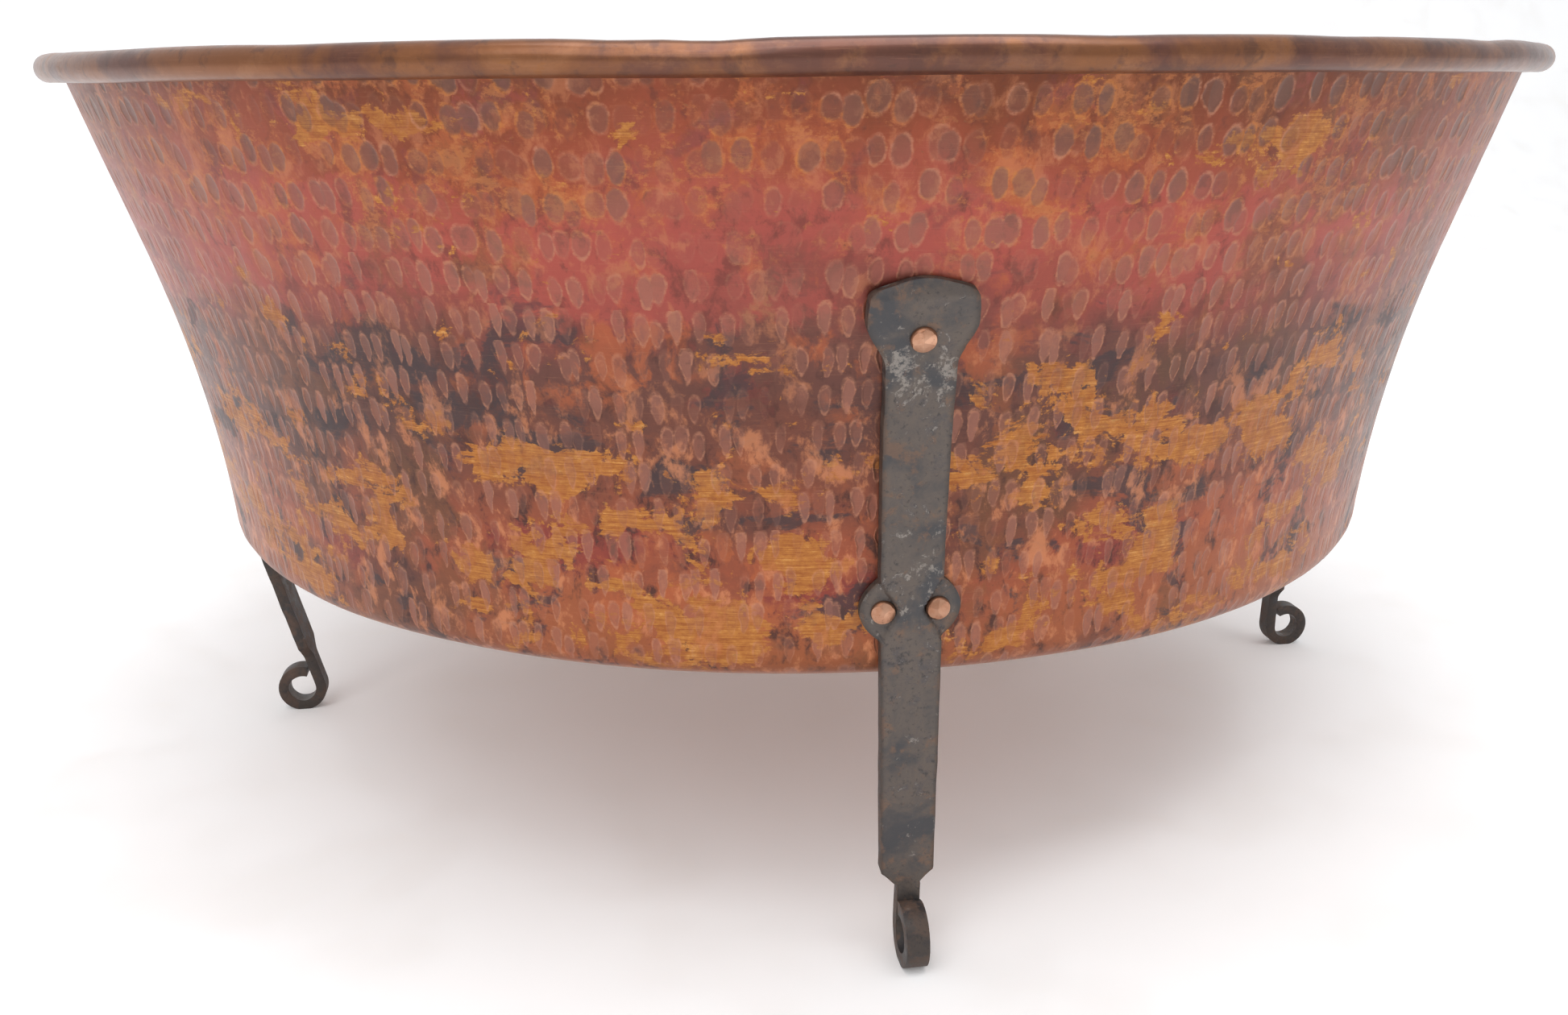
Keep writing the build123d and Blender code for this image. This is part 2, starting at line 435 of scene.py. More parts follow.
def with_gold(finish, noises, colour, low, upper, inside):
    """The colour with gold where the brush went through it, and where that is."""
    brushed, speckle = noises.brushed, noises.speckle
    gilt = noises.flakes + 0.14 * finish.attribute("gold") + 0.02 * low + 0.12 * (speckle - 0.5)
    bright = ease(gilt - 0.03 * upper, 0.59, 0.63) * (1 - inside)
    lines = ease(brushed * 0.6 + speckle * 0.4, 0.38, 0.6)
    gold = finish.mix(shade(158, 92, 48), shade(198, 132, 66), lines)
    # Painted glints: a pale gold laid over the brush lines stands for highlights
    glints = ease(brushed * 0.5 + speckle * 0.5, 0.54, 0.66)
    gold = finish.mix(gold, shade(232, 178, 108), 0.7 * glints)
    return finish.mix(colour, gold, bright * (0.5 + 0.5 * ease(noises.spots, 0.36, 0.52))), bright


def with_marks(finish, noises, colour, drop, marks, shown, bright):
    """The colour with mark faces, greyer near the rim and paler below, and broken outlines."""
    _, faces, outline, tone = marks
    face_tone = finish.mix(shade(112, 84, 74), shade(164, 108, 90), ease(drop, 0.04, 0.13))
    colour = finish.mix(colour, face_tone, shown * faces * (0.3 + 0.36 * tone) * (1 - 0.4 * bright))
    halo = ease(noises.veils, 0.42, 0.56) * ease(-drop, -0.13, -0.05)
    outline_tone = finish.mix(shade(196, 134, 104), shade(196, 120, 58), halo)
    broken = 0.15 + 0.45 * ease(noises.speckle, 0.44, 0.6)
    return finish.mix(colour, outline_tone, shown * outline * broken)


def roll_colour(finish, noises):
    """The browner colour of the rolled rim."""
    colour = finish.mix(shade(138, 86, 48), shade(100, 62, 50), ease(noises.clouds, 0.44, 0.62))
    colour = finish.mix(colour, shade(164, 112, 74), 0.4 * ease(noises.flakes, 0.5, 0.64))
    return finish.mix(colour, shade(84, 54, 44), 0.6 * ease(noises.spots, 0.52, 0.64))


def hammered_copper():
    """Fire-coloured, brushed, hammered and lacquered copper."""
    finish = Finish("hammered_copper")
    where = finish.place()
    x, y, z = finish.split(where)
    on_wall = finish.attribute("wall")
    on_roll = finish.attribute("roll")
    inside = finish.attribute("inside")
    noises = copper_noises(finish, where)
    speckle = noises.speckle
    low = ease(-z, -0.36, -0.28)  # 1 on the lower half of the wall
    upper = ease(z, 0.35, 0.4)  # 1 near the rim

    colour, dusk = fire_colours(finish, noises, z, low, upper)
    colour, bright = with_gold(finish, noises, colour, low, upper, inside)

    turn = x.maths("ARCTAN2", -y) + 0.008 * (finish.noise(where, 120, 2, 0.5) - 0.5)
    drop = finish.attribute("drop")
    marks = hammer_marks(turn, drop + 4 * MM * (noises.spots - 0.5))
    shown = on_wall * ease(noises.clouds * 0.6 + noises.broad * 0.4, 0.32, 0.48)
    colour = with_marks(finish, noises, colour, drop, marks, shown, bright)

    # The rolled rim is browner, the inside duller, and the wall just under the roll is darkened with painted
    # shade
    colour = finish.mix(colour, roll_colour(finish, noises), on_roll * 0.9)
    colour = finish.mix(colour, shade(112, 70, 52), inside * 0.6)
    painted_shade_under_roll = on_wall * ease(-drop, -(roll_drop + 7 * MM), -(roll_drop + 1 * MM))
    colour = finish.mix(colour, shade(74, 46, 38), 0.8 * painted_shade_under_roll)

    # Painted sheen: the wall is painted pale where it turns under, standing in for the floor's reflection in
    # the grazing corner
    painted_floor_sheen = (1 - inside) * ease(-z, -(floor_height + 6 * MM), -(floor_height + 2 * MM))
    colour = finish.mix(colour, shade(206, 160, 138), 0.6 * painted_floor_sheen)

    # Fine dark specks, paler scratches from the brush, and an even darkening towards brown over everything
    colour = finish.mix(colour, shade(64, 44, 42), 0.4 * ease(speckle, 0.63, 0.74))
    scratches = ease(noises.brushed, 0.56, 0.7) * (1 - inside)
    colour = finish.mix(colour, shade(206, 146, 112), 0.12 * scratches)
    colour = finish.mix(colour, shade(34, 14, 10), 0.18)

    metallic = 0.66 + 0.24 * bright - 0.25 * dusk
    roughness = 0.42 + 0.24 * (speckle - 0.5) + 0.1 * dusk + 0.05 * bright - 0.06 * on_roll
    depth, _, outline, _ = marks
    height = on_wall * (0.2 * outline - 0.8 * depth)
    height = height + 0.05 * noises.grain + 0.1 * noises.brushed + 0.14 * speckle
    lacquer = {"Coat Weight": 0.14 + 0.16 * on_roll, "Coat Roughness": 0.16}
    return finish.done(colour, metallic, roughness, height, 0.4 * MM, 0.8, **lacquer)


def forged_iron():
    """Grey-brown forge scale, with a little rust, scuffed bright in places, and painted shade on the back and
    side edges.
    """
    finish = Finish("forged_iron")
    where = finish.place()
    clouds = finish.noise(where, 30, 7, 0.64, 0.4)
    blotches = finish.noise(finish.warped(where, 120, 4 * MM), 85, 7, 0.68, 0.3)
    grain = finish.noise(where, 420, 4, 0.7)
    strokes = finish.noise(finish.warped(where, 90, 16 * MM), 150, 6, 0.72)
    edge = finish.attribute("edge")
    scuff = finish.attribute("scuff")
    colour = finish.mix(shade(69, 68, 70), shade(97, 87, 80), ease(clouds, 0.36, 0.58))
    scale = ease(strokes * 0.4 + clouds * 0.6, 0.52, 0.62)
    colour = finish.mix(colour, shade(66, 66, 72), 0.55 * scale)
    rust = ease(blotches + 0.1 * edge, 0.54, 0.66)
    colour = finish.mix(colour, shade(118, 88, 68), 0.6 * rust)
    colour = finish.mix(colour, shade(56, 53, 54), 0.7 * ease(grain + 0.5 * clouds, 0.82, 0.96))
    worn = ease(strokes + 0.13 * scuff, 0.6, 0.68) * ease(grain, 0.36, 0.56)
    colour = finish.mix(colour, shade(158, 150, 142), 0.62 * worn)
    # Painted shade: the back and the side edges of the bar are darkened in patches
    colour = finish.mix(colour, shade(44, 38, 36), 0.6 * edge * ease(clouds, 0.3, 0.5))
    roughness = 0.5 + 0.24 * (blotches - 0.5) + 0.14 * rust - 0.12 * worn
    metallic = 0.45 + 0.4 * worn - 0.3 * rust
    height = 0.6 * blotches + 0.35 * grain + 0.3 * clouds + 0.3 * strokes
    return finish.done(colour, metallic, roughness, height, 0.7 * MM, 0.8)


def rivet_copper():
    """Browned copper, with painted light and shade: each face that the hammer left is lighter or darker."""
    finish = Finish("rivet_copper")
    where = finish.place()
    clouds = finish.noise(where, 160, 5, 0.6)
    grain = finish.noise(where, 600, 4, 0.66)
    # Painted light and shade: each hammered face gets its own lighter or darker tone
    colour = finish.mix(shade(104, 62, 38), shade(214, 166, 138), finish.attribute("facet"))
    colour = finish.mix(colour, shade(150, 92, 60), 0.35 * ease(clouds, 0.42, 0.6))
    colour = finish.mix(colour, shade(226, 188, 158), 0.55 * finish.attribute("ridge"))
    colour = finish.mix(colour, shade(84, 56, 46), 0.4 * ease(grain + 0.4 * clouds, 0.8, 0.92))
    roughness = 0.34 + 0.3 * (clouds - 0.5)
    return finish.done(colour, 0.8, roughness, 0.2 * grain + 0.8 * clouds, 0.12 * MM, 0.4)


def rod_iron():
    """Plain black iron rod."""
    finish = Finish("rod_iron")
    where = finish.place()
    clouds = finish.noise(where, 90, 5, 0.6)
    grain = finish.noise(where, 600, 3, 0.6)
    colour = finish.mix(shade(70, 66, 64), shade(104, 78, 62), ease(clouds, 0.45, 0.65))
    return finish.done(colour, 0.4, 0.55 + 0.3 * (grain - 0.5), grain, 0.3 * MM, 0.6)


def white_cloth():
    """The white sheet that the tub stands on, glowing a little so that its shadows stay pale."""
    finish = Finish("white_cloth")
    where = finish.place()
    folds = finish.noise(where, 2.2, 3, 0.5, 0.5)
    ripples = finish.noise(where, 9, 4, 0.5, 0.4)
    colour = finish.mix(shade(248, 248, 248), shade(243, 242, 241), ease(ripples, 0.45, 0.7))
    glow = {"Emission Color": (1, 1, 1, 1), "Emission Strength": 0.1}
    return finish.done(colour, 0, 0.9, folds + 0.12 * ripples, 12 * MM, 0.1, **glow)


# ---------------------------------------------------------------- making pieces

def finished(name, mesh, material, slot=None, stands_for=()):
    """Puts a mesh in the scene as a piece with its material."""
    mesh.polygons.foreach_set("use_smooth", [True] * len(mesh.polygons))
    mesh.materials.append(material)
    piece = bpy.data.objects.new(name, mesh)
    bpy.context.scene.collection.objects.link(piece)
    if slot:
        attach(piece, "root")
        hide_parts(*stands_for)
    return piece


def to_mesh(name, bm):
    mesh = bpy.data.meshes.new(name)
    bm.to_mesh(mesh)
    bm.free()
    return mesh


def make_stage():
    """A floor that curves up into a backdrop, far behind the tub."""
    front, back, side, bend, top = -5.0, 2.6, 7.0, 1.2, 4.0
    curve = [(front, 0)] + [
        (back + bend * sin(radians(angle)), bend - bend * cos(radians(angle)))
        for angle in range(0, 91, 6)
    ] + [(back + bend, top)]
    bm = bmesh.new()
    points = [bm.verts.new((-side, along, up)) for along, up in curve]
    edges = [bm.edges.new(pair) for pair in zip(points, points[1:])]
    swept = bmesh.ops.extrude_edge_only(bm, edges=edges)["geom"]
    moved = [part for part in swept if isinstance(part, bmesh.types.BMVert)]
    bmesh.ops.translate(bm, verts=moved, vec=(2 * side, 0, 0))
    bmesh.ops.recalc_face_normals(bm, faces=bm.faces)
    floor_mesh = to_mesh("floor", bm)
    finished("floor", floor_mesh, white_cloth())


# ---------------------------------------------------------------- tub

def arc(centre, radius, start, sweep, steps):
    """Points on an arc, as (radius, height), by angles from the outward direction."""
    return [
        (centre[0] + radius * cos(start + sweep * step / steps),
         centre[1] + radius * sin(start + sweep * step / steps))
        for step in range(steps + 1)
    ]


def line(start, end, steps):
    return [
        tuple(a + (b - a) * step / steps for a, b in zip(start, end)) for step in range(steps + 1)
    ]


# The wall's outer face: a cone that touches the rod, then an arc down to the corner.
rod_touch = (rod_centre[0] - rod_radius * cos(flare_lean), rod_centre[1] + rod_radius * sin(flare_lean))
bend_top_height = rod_centre[1] - cone_height
bend_top = (rod_touch[0] - (rod_touch[1] - bend_top_height) * tan(flare_lean), bend_top_height)
corner_height = floor_height + corner_radius
bend_radius = (bend_top_height - corner_height + corner_radius * sin(base_lean)) / (
    sin(flare_lean) - sin(base_lean)
)
bend_centre = (bend_top[0] + bend_radius * cos(flare_lean), bend_top[1] - bend_radius * sin(flare_lean))
bend_foot = (bend_centre[0] - bend_radius * cos(base_lean), bend_centre[1] + bend_radius * sin(base_lean))
corner_centre = (bend_foot[0] - corner_radius * cos(base_lean), bend_foot[1] + corner_radius * sin(base_lean))
wrap_sweep = 2 * pi - np.arccos((rod_radius - seam_gap) / bead_radius)
roll_drop = rim_top - rod_touch[1]


def wall_at(height):
    """The radius and lean of the wall's outer face at a height above its corner."""
    if height > bend_top_height:
        return bend_top[0] + (height - bend_top_height) * tan(flare_lean), flare_lean
    lean = asin((height - bend_centre[1]) / bend_radius)
    return bend_centre[0] - bend_radius * cos(lean), lean


def sheet_face(depth, wall_rows, wrap_steps):
    """One face of the sheet, from the axis to its rolled edge, in named stretches."""
    corner = arc(corner_centre, corner_radius - depth, -pi / 2, pi / 2 - base_lean, corner_steps)
    bend_rows = round(wall_rows * bend_share)
    bend = arc(bend_centre, bend_radius + depth, pi - base_lean, base_lean - flare_lean, bend_rows)
    wrap = arc(rod_centre, rod_radius + depth, pi - flare_lean, -wrap_sweep, wrap_steps)
    bottom = line((0, floor_height + depth), corner[0], floor_steps)
    cone = line(bend[-1], wrap[0], wall_rows - bend_rows)
    return {"floor": bottom, "corner": corner[1:], "wall": bend[1:] + cone[1:], "roll": wrap[1:]}


def sheet_section():
    """The whole section round the sheet, as (stretch, depth, radius, height)."""
    rows = round((rim_top - floor_height) / row_pitch * rows_per_mark)
    outer = sheet_face(0, rows, outer_roll_steps)
    inner = sheet_face(sheet, inner_wall_rows, inner_roll_steps)
    there = [(name, 0, *point) for name, points in outer.items() for point in points]
    back = [(name, sheet, *point) for name, points in inner.items() for point in points]
    return there + back[::-1]


def spun_sheet():
    """The plain tub, as a mesh that knows where on the sheet each of its points is."""
    bm = bmesh.new()
    names = ("radius", "drop", "wall", "roll", "inside")
    layers = {name: bm.verts.layers.float.new(name) for name in names}
    points = []
    for stretch, depth, radius, height in sheet_section():
        point = bm.verts.new((radius, 0, height))
        point[layers["radius"]] = radius
        point[layers["drop"]] = rim_top - height
        point[layers["wall"]] = stretch in ("wall", "corner") and depth == 0
        point[layers["roll"]] = stretch == "roll"
        point[layers["inside"]] = stretch != "roll" and depth > 0
        points.append(point)

    # On the wall the drop is measured along the sheet.
    wall = [point for point in reversed(points) if point[layers["wall"]] > 0]
    drop = rim_top - wall[0].co.z
    for upper, lower in zip(wall, wall[1:]):
        drop += (upper.co - lower.co).length
        lower[layers["drop"]] = drop
    edges = [bm.edges.new(pair) for pair in zip(points, points[1:])]
    bmesh.ops.spin(
        bm, geom=points + edges, axis=(0, 0, 1), cent=(0, 0, 0), angle=2 * pi,
        steps=marks_per_row, use_merge=True, use_duplicate=False,
    )
    bmesh.ops.remove_doubles(bm, verts=bm.verts, dist=merge_distance)
    bmesh.ops.recalc_face_normals(bm, faces=bm.faces)

    def is_level(edge):
        one, other = (end.co for end in edge.verts)
        return abs(one.z - other.z) < tiny and abs(one.xy.length - other.xy.length) < tiny

    rings = [
        edge for edge in bm.edges
        if all(end[layers["wall"]] > 0.5 for end in edge.verts) and is_level(edge)
    ]
    bmesh.ops.subdivide_edges(bm, edges=rings, cuts=cuts_per_mark, use_grid_fill=True)
    return to_mesh("tub", bm)


# Patches of colour on the wall: azimuth (degrees), height (mm), half-width (degrees) and
# half-height (mm). More like them are drawn for the azimuths between side_azimuths.
side_azimuths = (62, 298)
height_spread = 12
gold_patches = [
    (-47, 463, 4, 9), (22, 440, 7, 18), (8, 302, 5, 26), (17, 294, 8, 20), (28, 297, 5, 18),
    (17, 222, 6, 14), (6, 189, 3, 8), (-10, 277, 3, 7), (-19, 258, 5, 10), (-27, 284, 6, 12),
    (-36, 306, 3, 12), (-47, 240, 6, 13), (-59, 284, 4, 12), (-18, 200, 5, 12), (-11, 240, 4, 9),
    (-30, 218, 6, 14), (-52, 190, 4, 8), (-18, 186, 3, 6), (37, 262, 5, 14), (11, 250, 3, 9),
    (-24, 236, 4, 10), (-4, 203, 4, 8), (27, 196, 5, 8), (-40, 262, 4, 10), (9, 332, 3, 8),
    (12, 455, 6, 7), (-33, 452, 8, 9), (33, 236, 3, 8),
]
scorch_patches = [
    (-32, 315, 7, 10), (-36, 342, 9, 12), (-22, 358, 8, 9), (-55, 290, 6, 12), (-17, 286, 6, 10),
    (-8, 300, 5, 16), (14, 336, 7, 12), (23, 330, 6, 10), (8, 356, 7, 8), (-1, 467, 2, 7),
    (29, 462, 3, 8), (-55, 208, 5, 8), (-26, 302, 5, 8), (13, 272, 3, 6), (21, 262, 4, 6),
    (-13, 262, 5, 7), (-44, 300, 4, 10), (34, 345, 6, 10), (45, 360, 6, 14), (-3, 330, 6, 12),
]
rose_patches = [
    (-23, 396, 12, 14), (17, 384, 5, 18), (-2, 408, 9, 12), (-36, 420, 9, 10), (-25, 245, 5, 10),
    (-43, 218, 5, 9), (-6, 222, 5, 8), (12, 410, 10, 10), (-52, 380, 7, 14), (30, 405, 8, 12),
    (-16, 372, 8, 8), (16, 236, 4, 8),
]


def patches_all_round(patches, seed):
    """The chosen patches in front, and others of the same sizes on the rest of the wall."""
    draw = random.Random(seed)
    more = []
    for _, height, half_width, half_height in patches * 3:
        azimuth = draw.uniform(*side_azimuths)
        height += draw.uniform(-height_spread, height_spread)
        more.append((azimuth, height, half_width, half_height))
    return patches + more


def degrees_from(turn, azimuth):
    """How far round each point is from an azimuth in degrees, the shorter way."""
    return (np.degrees(turn) - azimuth + 180) % 360 - 180


def patchiness(turn, height, patches):
    """How far each point is in a patch, from 0 to 1."""
    total = np.zeros_like(turn)
    for azimuth, middle, half_width, half_height in patches:
        aside = degrees_from(turn, azimuth)
        near = (aside / half_width) ** 2 + ((height - middle * MM) / (half_height * MM)) ** 2
        total = np.maximum(total, np.exp(-0.7 * near))
    return total


def read(mesh, name):
    values = np.zeros(len(mesh.vertices), np.float32)
    mesh.attributes[name].data.foreach_get("value", values)
    return values.astype(float)


def write(mesh, name, values):
    mesh.attributes.new(name, "FLOAT", "POINT").data.foreach_set("value", values.astype(np.float32))


def coordinates(mesh, source="vertices", field="co"):
    values = np.zeros(len(mesh.vertices) * 3, np.float32)
    getattr(mesh, source).foreach_get(field, values)
    return values.reshape(-1, 3).astype(float)


def make_tub(material):
    """The hammered sheet: marks on the wall, slow waves all over and dents in the rolled rim."""
    mesh = spun_sheet()
    place = coordinates(mesh)
    radius, drop, wall, roll = (read(mesh, name) for name in ("radius", "drop", "wall", "roll"))
    turn = np.arctan2(place[:, 0], -place[:, 1])
    place[:, 0], place[:, 1] = radius * np.sin(turn), -radius * np.cos(turn)
    mesh.vertices.foreach_set("co", place.ravel())
    mesh.update()
    outwards = coordinates(mesh, "vertex_normals", "vector")

    height = place[:, 2]
    for name, patches, seed in (
        ("gold", gold_patches, 3), ("scorch", scorch_patches, 5), ("rose", rose_patches, 7),
    ):
        write(mesh, name, patchiness(turn, height, patches_all_round(patches, seed)))

    depth = hammer_marks(turn, drop)[0]
    fade = ease(drop, roll_drop, roll_drop + smooth_edge)
    fade = fade * ease(height, floor_height, floor_height + smooth_edge)
    place -= outwards * (mark_depth * depth * wall * fade)[:, None]

    # Slow waves move both faces of the sheet together.
    waves = np.array([
        noise.fractal(Vector(point) * 9, 1.0, 2.0, 3) for point in zip(
            radius * np.sin(turn), radius * np.cos(turn), height * 0.8)
    ])
    wave = wave_height * waves * ease(radius, 0.2, 0.4)
    place[:, 0] += wave * np.sin(turn)
    place[:, 1] -= wave * np.cos(turn)

    # The roll wavers up and down, and its outside is dented.
    near_roll = ease(height, rim_top - 30 * MM, rim_top - 12 * MM)
    waver = 0.5 * np.sin(3 * turn + 1) + 0.35 * np.sin(8 * turn) + 0.3 * np.sin(17 * turn + 2)
    place[:, 2] += rim_waver * waver * near_roll
    dents = np.zeros_like(turn)
    draw = random.Random(11)
    for _ in range(dent_count):
        centre, width, force = draw.uniform(-180, 180), draw.uniform(0.8, 3.2), draw.uniform(0.2, 1)
        dents += force * np.exp(-((degrees_from(turn, centre) / width) ** 2))
    from_rod = np.hypot(radius - rod_centre[0], height - rod_centre[1])
    outer_face = roll * ease(from_rod, rod_radius + 1 * MM, rod_radius + 1.5 * MM)
    facing_up = ease(outwards[:, 2], -0.2, 0.6)
    place -= outwards * (dent_depth * np.minimum(dents, 1.4) * outer_face * facing_up)[:, None]
    mesh.vertices.foreach_set("co", place.ravel())
    mesh.update()
    finished("copper_tub", mesh, material, "hammered_copper", ["tub"])


# ---------------------------------------------------------------- legs

def leg_route(lean_below):
    """The middle of a bar's thickness from ear to tip, as rows of (radius, height, lean)."""
    lean = radians(lean_below)
    middle = leg_gap + leg_thickness / 2
    ring_middle = ring_radius - leg_thickness / 2
    tip_length = (ring_radius * cos(tip_angle) + ring_radius - leg_thickness - tip_gap) / sin(tip_angle)
    climb = ear_top - (bend_top[1] - middle * sin(flare_lean))
    radius = bend_top[0] + middle * cos(flare_lean) + climb * tan(flare_lean)
    height, heading = ear_top, flare_lean
    route = [(radius, height, heading)]

    def run(length, bend, step):
        """Goes on along a line or an arc that turns by bend, in steps of about this length."""
        nonlocal radius, height, heading
        steps = max(1, round(length / step))
        for _ in range(steps):
            half = heading + bend / steps / 2
            radius -= length / steps * sin(half)
            height -= length / steps * cos(half)
            heading += bend / steps
            route.append((radius, height, heading))

    run(climb / cos(flare_lean), 0, ear_step)
    under_wall = (bend_radius - middle) * (flare_lean - base_lean)
    run(under_wall, base_lean - flare_lean, wall_step)
    run(set_radius * abs(lean - base_lean), lean - base_lean, bar_step)
    ring_start = ring_radius - ring_flat + ring_middle * sin(lean)
    run((height - ring_start) / cos(lean), 0, bar_step)
    run(ring_middle * (pi + tip_angle), -(pi + tip_angle), ring_step)
    run(tip_length, 0, tip_step)
    return route


def bar_half_width(height):
    """Half the bar's width above its foot, by height."""
    shoulder_top = foot_top + shoulder_slope
    if height < shoulder_top:
        fall = (shoulder_top - height) / shoulder_slope
        return foot_width / 2 + (shoulder_width - foot_width) / 2 * max(0.0, 1 - fall**0.8)
    share = (height - shoulder_top) / (ear_top - ear_height - shoulder_top)
    half = (shoulder_width + (neck_width - shoulder_width) * min(share, 1)) / 2
    from_lobe = abs(height - lobe_middle) / (lobe_height / 2)
    if from_lobe < 1:
        half += (lobe_width / 2 - half) * (1 - from_lobe**2)
    below_top = ear_top - height
    if below_top < ear_neck_ends:
        corner = max(0.0, ear_corner - below_top)
        ear = ear_width / 2 - ear_corner + sqrt(max(0.0, ear_corner**2 - corner**2))
        ear -= ear_top_taper * (1 - ease(below_top, 0, 0.5 * ear_height))
        half = float(ear + (half - ear) * ease(below_top, ear_neck_starts, ear_neck_ends))
    return half


def lobe_depth(aside, height):
    """How much the bar's front is thinned at a place: in full on a lobe, and 0 off the lobes."""
    from_lobe = abs(height - lobe_middle) / (lobe_height / 2)
    if from_lobe >= 1:
        return 0.0
    inner = waist_width / 2 + ((neck_width + shoulder_width) / 4 - waist_width / 2) * from_lobe
    return (leg_thickness - lobe_thickness) * float(ease(abs(aside), inner - lobe_edge, inner + lobe_edge))


def make_leg(name, azimuth, lean_below, tilt, material):
    """One forged leg, from a flat grid that is thickened and drawn along the leg's route."""
    route = leg_route(lean_below)
    rows = len(route) - 1
    bm = bmesh.new()
    bmesh.ops.create_grid(bm, x_segments=bar_columns, y_segments=rows, size=1)
    raised = bmesh.ops.extrude_face_region(bm, geom=bm.faces[:])["geom"]
    lifted = [part for part in raised if isinstance(part, bmesh.types.BMVert)]
    bmesh.ops.translate(bm, verts=lifted, vec=(0, 0, 1))
    edge_layer = bm.verts.layers.float.new("edge")
    scuff_layer = bm.verts.layers.float.new("scuff")
    seed = Vector((azimuth * 0.37, 3.1, 7.7))
    first_in_foot = next(row for row, (_, up, _) in enumerate(route) if up < foot_top)
    for point in bm.verts:
        share, back = point.co.x, point.co.z < 0.5
        row = round((1 - point.co.y) / 2 * rows)
        radius, height, lean = route[row]
        in_foot = row >= first_in_foot
        half = foot_width / 2 if in_foot else bar_half_width(height)
        wobble = noise.noise(Vector((share * 0.4, height * 60, row * 0.02)) + seed)
        aside = share * (half + forged_depth * wobble)
        out = -leg_thickness / 2 if back else leg_thickness / 2
        if not in_foot and not back:
            out -= lobe_depth(aside, height)
            if height > ear_top - ear_height:
                out -= ear_side_thinning * share**4
                out -= ear_thinning * ease(height, ear_top - ear_thin_length, ear_top + 1 * MM)
        if height > ear_top - ear_corner:
            height -= ear_round * share**2 * (height - ear_top + ear_corner) / ear_corner
        if not back:
            forged = noise.fractal(Vector((aside * 55, height * 55, row * 0.05)) + seed, 1.0, 2.0, 3)
            out += forged_depth * forged - forged_inset
        if not in_foot:
            turn = radians(tilt)
            aside, height = aside * cos(turn) - height * sin(turn), height * cos(turn) + aside * sin(turn)
        radius += out * cos(lean)
        height -= out * sin(lean)
        around = radians(azimuth)
        point.co = (
            aside * cos(around) + radius * sin(around),
            aside * sin(around) - radius * cos(around),
            max(height, 0.0),
        )
        # The back and the side edges of the bar: more rust there, and painted shade
        point[edge_layer] = 1.0 if back else max(0.0, (abs(share) - 0.86) / 0.14)
        near_neck = exp(-(((height - ear_top + 45 * MM) / (16 * MM)) ** 2))
        near_lobes = exp(-(((height - lobe_middle - 20 * MM) / (20 * MM)) ** 2))
        point[scuff_layer] = near_neck + 0.6 * near_lobes
    bmesh.ops.recalc_face_normals(bm, faces=bm.faces)
    sharp = [edge for edge in bm.edges if edge.calc_face_angle(0) > sharp_angle]
    bmesh.ops.bevel(
        bm, geom=sharp, offset=arris, segments=2, profile=0.5, affect="EDGES",
        material=-1, clamp_overlap=True,
    )
    finished(f"leg_{name}_forged", to_mesh(f"leg_{name}", bm), material, "forged_iron", [f"leg_{name}"])


# ---------------------------------------------------------------- rivets

def plain_rivet(top, bottom):
    """A rivet along z, with a dome from top upwards, a shank, and a button from bottom down."""
    dome = [
        (head_radius * sin(angle), top + head_edge + (head_height - head_edge) * cos(angle))
        for angle in np.linspace(0, pi / 2, 7)
    ]
    button = [
        (inner_head_radius * cos(angle), bottom - inner_head_height * sin(angle))
        for angle in np.linspace(0, pi / 2, 5)
    ]
    outline = dome + [(head_radius, top), (shank_radius, top), (shank_radius, bottom)] + button
    bm = bmesh.new()
    points = [bm.verts.new((across, 0, along)) for across, along in outline]
    edges = [bm.edges.new(pair) for pair in zip(points, points[1:])]
    bmesh.ops.spin(
        bm, geom=points + edges, axis=(0, 0, 1), cent=(0, 0, 0), angle=2 * pi,
        steps=rivet_steps, use_merge=True, use_duplicate=False,
    )
    bmesh.ops.remove_doubles(bm, verts=bm.verts, dist=merge_distance)
    return bm


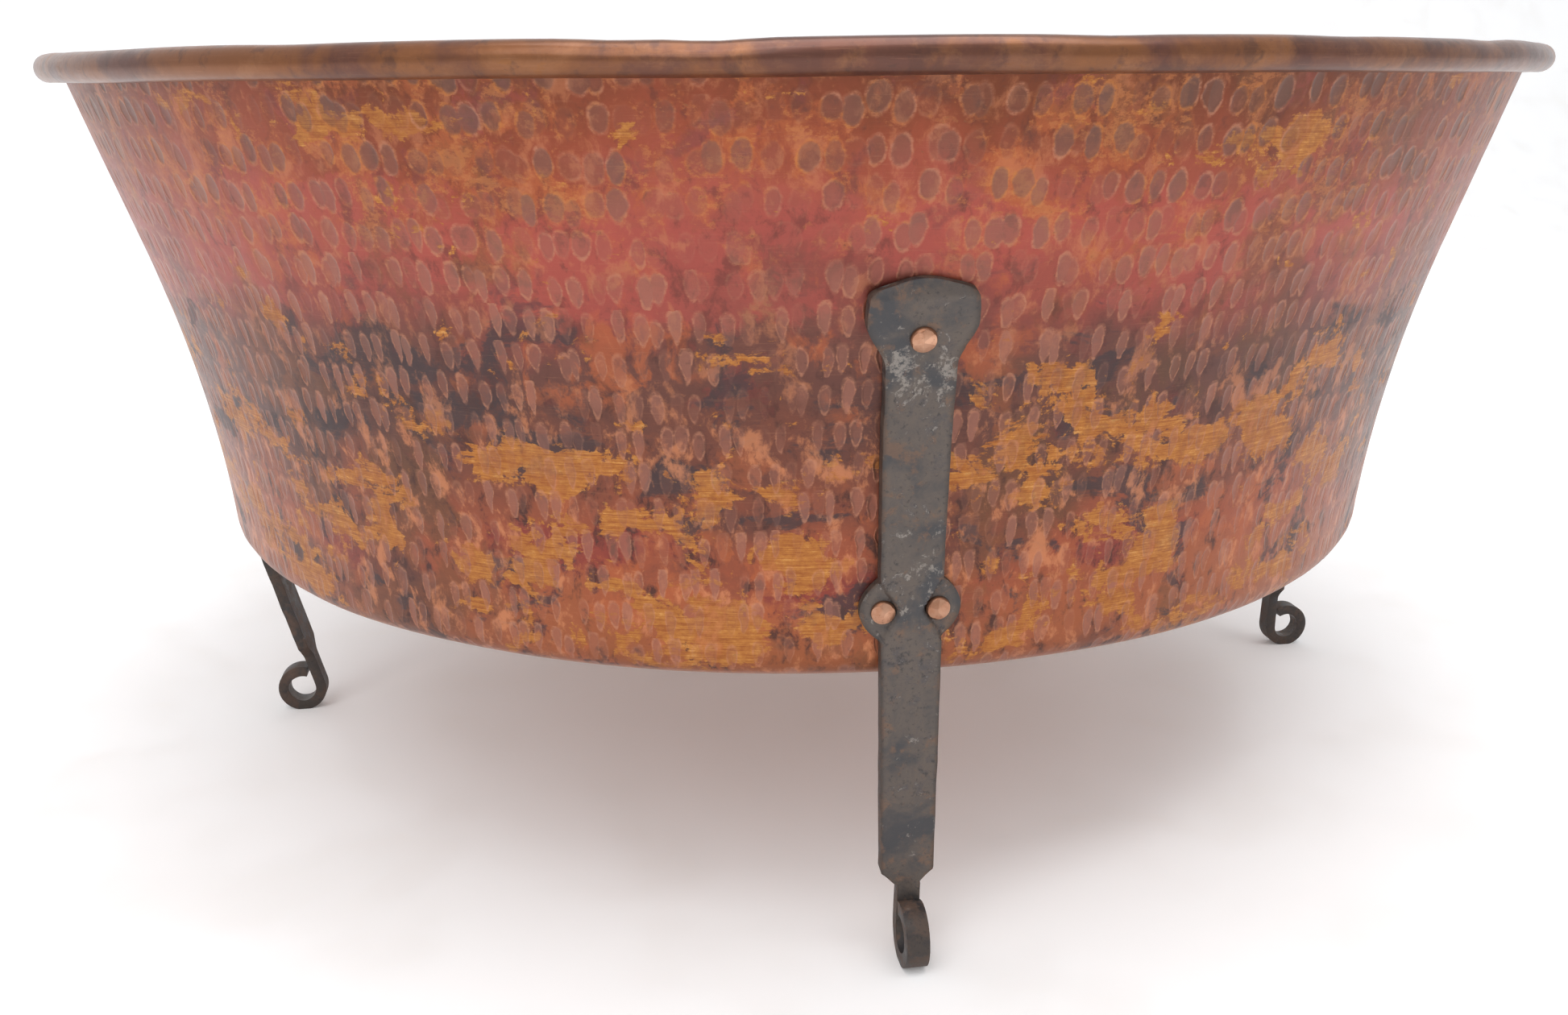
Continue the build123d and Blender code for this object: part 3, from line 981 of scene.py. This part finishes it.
def hammer_head(bm, top, draw):
    """Cuts four or five facets into a rivet's dome, and marks their ridges and a painted light or shade for
    each facet.
    """
    first = draw.uniform(0, 2 * pi)
    facets, facet_shading = [Vector((0, 0, 1))], [0.4]
    for facet in range(draw.choice((4, 5))):
        around = first + 2 * pi * facet / 4.5 + draw.uniform(-0.35, 0.35)
        slope = radians(draw.uniform(17, 30))
        facets.append(Vector((sin(slope) * cos(around), sin(slope) * sin(around), cos(slope))))
        facet_shading.append(draw.uniform(0, 1))
        peak = (draw.uniform(-0.7, 0.7) * MM, draw.uniform(-0.7, 0.7) * MM, top + head_height - facet_depth)
        cut = bmesh.ops.bisect_plane(
            bm, geom=bm.verts[:] + bm.edges[:] + bm.faces[:], dist=tiny,
            plane_co=peak, plane_no=facets[-1], clear_outer=True,
        )["geom_cut"]
        bmesh.ops.edgeloop_fill(bm, edges=[part for part in cut if isinstance(part, bmesh.types.BMEdge)])
    bmesh.ops.recalc_face_normals(bm, faces=bm.faces)
    ridges = [
        edge for edge in bm.edges
        if edge.calc_face_angle(0) > ridge_angle and min(end.co.z for end in edge.verts) > top + 2 * head_edge
    ]
    ridge_layer = bm.loops.layers.float.new("ridge")
    facet_shading_layer = bm.loops.layers.float.new("facet")
    bevelled = bmesh.ops.bevel(
        bm, geom=ridges, offset=ridge_width, segments=2, profile=0.5, affect="EDGES",
        material=-1, clamp_overlap=True,
    )["faces"]
    bmesh.ops.triangulate(bm, faces=[face for face in bm.faces if len(face.verts) > 4])
    bm.normal_update()
    rounded = {face for face in bevelled if face.is_valid}
    for face in bm.faces:
        nearest = max(range(len(facets)), key=lambda facet: face.normal.dot(facets[facet]))
        on_facet = face.normal.dot(facets[nearest]) > 0.99
        for corner in face.loops:
            corner[facet_shading_layer] = facet_shading[nearest] if on_facet else 0.3
            corner[ridge_layer] = face in rounded


def make_rivet(name, azimuth, tilt, place, material):
    """A rivet through a leg and the wall, with a round head inside and a hammered head outside."""
    up, aside, grip = rivet_places[place]
    turn = radians(tilt)
    height, aside = up * cos(turn) + aside * sin(turn), aside * cos(turn) - up * sin(turn)
    radius, lean = wall_at(height)
    inner_wall = radius - sheet
    reach = abs(aside) + inner_head_radius
    fall = inner_wall - sqrt(inner_wall**2 - reach**2)
    top = leg_gap + grip
    bm = plain_rivet(top, -sheet - fall)
    hammer_head(bm, top, random.Random(f"{name} {place}"))

    around = radians(azimuth)
    side = Vector((cos(around), sin(around), 0))
    front = Vector((sin(around), -cos(around), 0))
    out = front * cos(lean) - Vector((0, 0, sin(lean)))
    turned = Matrix((side, out.cross(side), out)).transposed().to_4x4()
    seat = side * aside + front * radius + Vector((0, 0, height))
    bmesh.ops.transform(bm, matrix=Matrix.Translation(seat) @ turned, verts=bm.verts)
    piece = f"rivet_{name}_{place}"
    finished(f"{piece}_hammered", to_mesh(piece, bm), material, "rivet_copper", [piece])


# ---------------------------------------------------------------- everything

make_camera()
make_surroundings()
make_light("window", (-1.6, -2.6, 3.2), 2.6, 44)
make_light("ceiling", (0.2, -0.6, 3.6), 3.0, 80)
make_stage()
make_tub(hammered_copper())
iron, copper = forged_iron(), rivet_copper()
for leg, (azimuth, lean_below, tilt) in legs.items():
    make_leg(leg, azimuth, lean_below, tilt, iron)
    for place in rivet_places:
        make_rivet(leg, azimuth, tilt, place, copper)
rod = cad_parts["rim_rod"]
rod.data.materials.clear()
rod.data.materials.append(rod_iron())
bpy.context.scene.view_settings.view_transform = "Standard"
